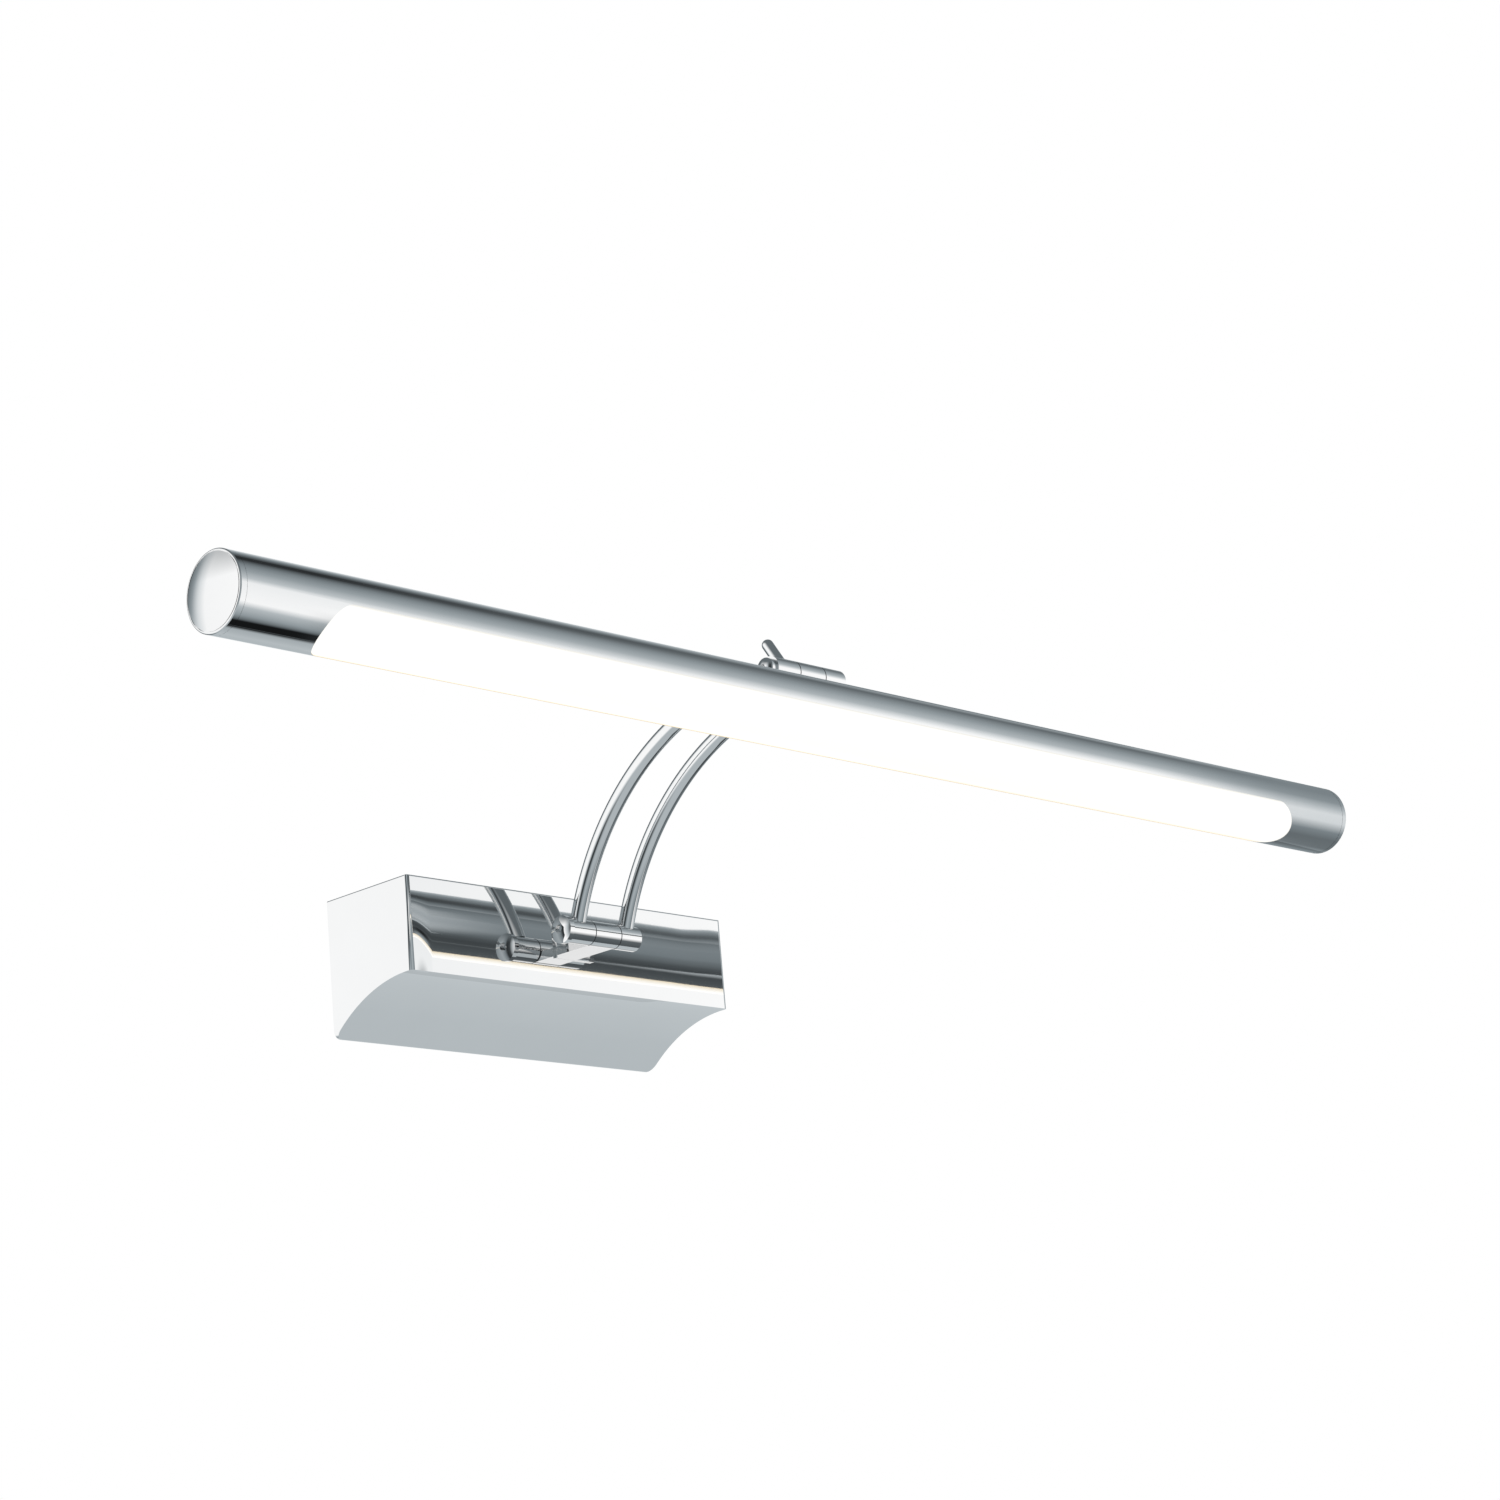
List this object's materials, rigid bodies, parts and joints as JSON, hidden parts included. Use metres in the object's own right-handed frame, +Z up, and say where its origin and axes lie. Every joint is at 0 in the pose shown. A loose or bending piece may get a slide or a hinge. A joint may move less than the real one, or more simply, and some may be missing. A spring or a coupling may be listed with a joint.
{
  "type": "picture light",
  "caption": "Wall picture light: a long round chrome lamp tube with a glowing opal window, on twin curved arms hinged to a slim chrome wall box.",
  "frame": {"origin": "centre of the wall box's back, on the wall", "axes": "+X along the lamp tube, +Y into the wall, +Z up; the room is on -Y"},
  "size_m": [0.602, 0.2206, 0.1265],
  "materials": {
    "chrome_cover": "mirror-polished chrome plate on the box cover",
    "chrome_tube": "mirror-polished chrome plate on the lamp tube",
    "chrome_caps": "mirror-polished chrome plate on the domed end caps",
    "chrome_arms": "polished chrome plate on the bent arms",
    "chrome_hinges": "polished chrome plate on the turned hinge parts",
    "chrome_bolts": "polished chrome plate, turned, dark socket",
    "zinc_steel": "bright zinc-plated sheet steel",
    "steel_screws": "bright zinc-plated screws",
    "brass_screws": "plain brass",
    "hinge_nylon": "black nylon friction washers",
    "grommet_rubber": "black moulded rubber",
    "driver_case": "white moulded plastic case, fine grain",
    "terminal_plastic": "natural nylon",
    "lead_sleeve": "PVC-sleeved leads",
    "opal_diffuser": "opal acrylic, satin, lit from inside",
    "aluminium_bar": "extruded mill-finish aluminium",
    "board_white": "white solder mask",
    "led_phosphor": "yellow phosphor in white packages"
  },
  "bodies": {
    "wall_box": {"back_plate": "zinc_steel", "box_cover": "chrome_cover", "cover_screws": "steel_screws", "cable_grommet": "grommet_rubber", "led_driver": "driver_case", "terminal_block": "terminal_plastic", "terminal_screws": "brass_screws", "plate_screws": "steel_screws", "earth_screw": "brass_screws", "earth_washer": "steel_screws", "input_leads": "lead_sleeve", "wall_hinge_bracket": "chrome_hinges", "bracket_stiffener": "zinc_steel", "bracket_bolts": "steel_screws"},
    "arms": {"left_lower_knuckle": "chrome_hinges", "right_lower_knuckle": "chrome_hinges", "lower_hinge_bolt": "chrome_bolts", "lower_hinge_washers": "hinge_nylon", "left_arm": "chrome_arms", "right_arm": "chrome_arms", "arm_leads": "lead_sleeve", "left_upper_knuckle": "chrome_hinges", "right_upper_knuckle": "chrome_hinges", "upper_hinge_bolt": "chrome_bolts", "upper_hinge_washers": "hinge_nylon"},
    "locking_pin": {"tilt_locking_pin": "chrome_hinges"},
    "lamp": {"lamp_hinge_bracket": "chrome_hinges", "saddle_screws": "steel_screws", "saddle_block": "aluminium_bar", "carrier_screws": "steel_screws", "lamp_tube": "chrome_tube", "left_end_cap": "chrome_caps", "right_end_cap": "chrome_caps", "diffuser": "opal_diffuser", "led_carrier": "aluminium_bar", "led_board": "board_white", "led_chips": "led_phosphor", "board_screws": "steel_screws"}
  },
  "joints": [
    {"name": "arm_tilt", "type": "hinge", "parent": "wall_box", "child": "arms", "pos_m": [0, -0.0645, 0.0087], "axis": [1, 0, 0], "range_deg": [-40, 70]},
    {"name": "lamp_tilt", "type": "hinge", "parent": "arms", "child": "lamp", "pos_m": [0, -0.1862, 0.083], "axis": [1, 0, 0], "range_deg": [-60, 85]},
    {"name": "locking_pin_turn", "type": "hinge", "parent": "arms", "child": "locking_pin", "pos_m": [-0.0096, -0.1862, 0.083], "axis": [0, 0.5373, 0.8434], "range_deg": [0, 180]}
  ]
}
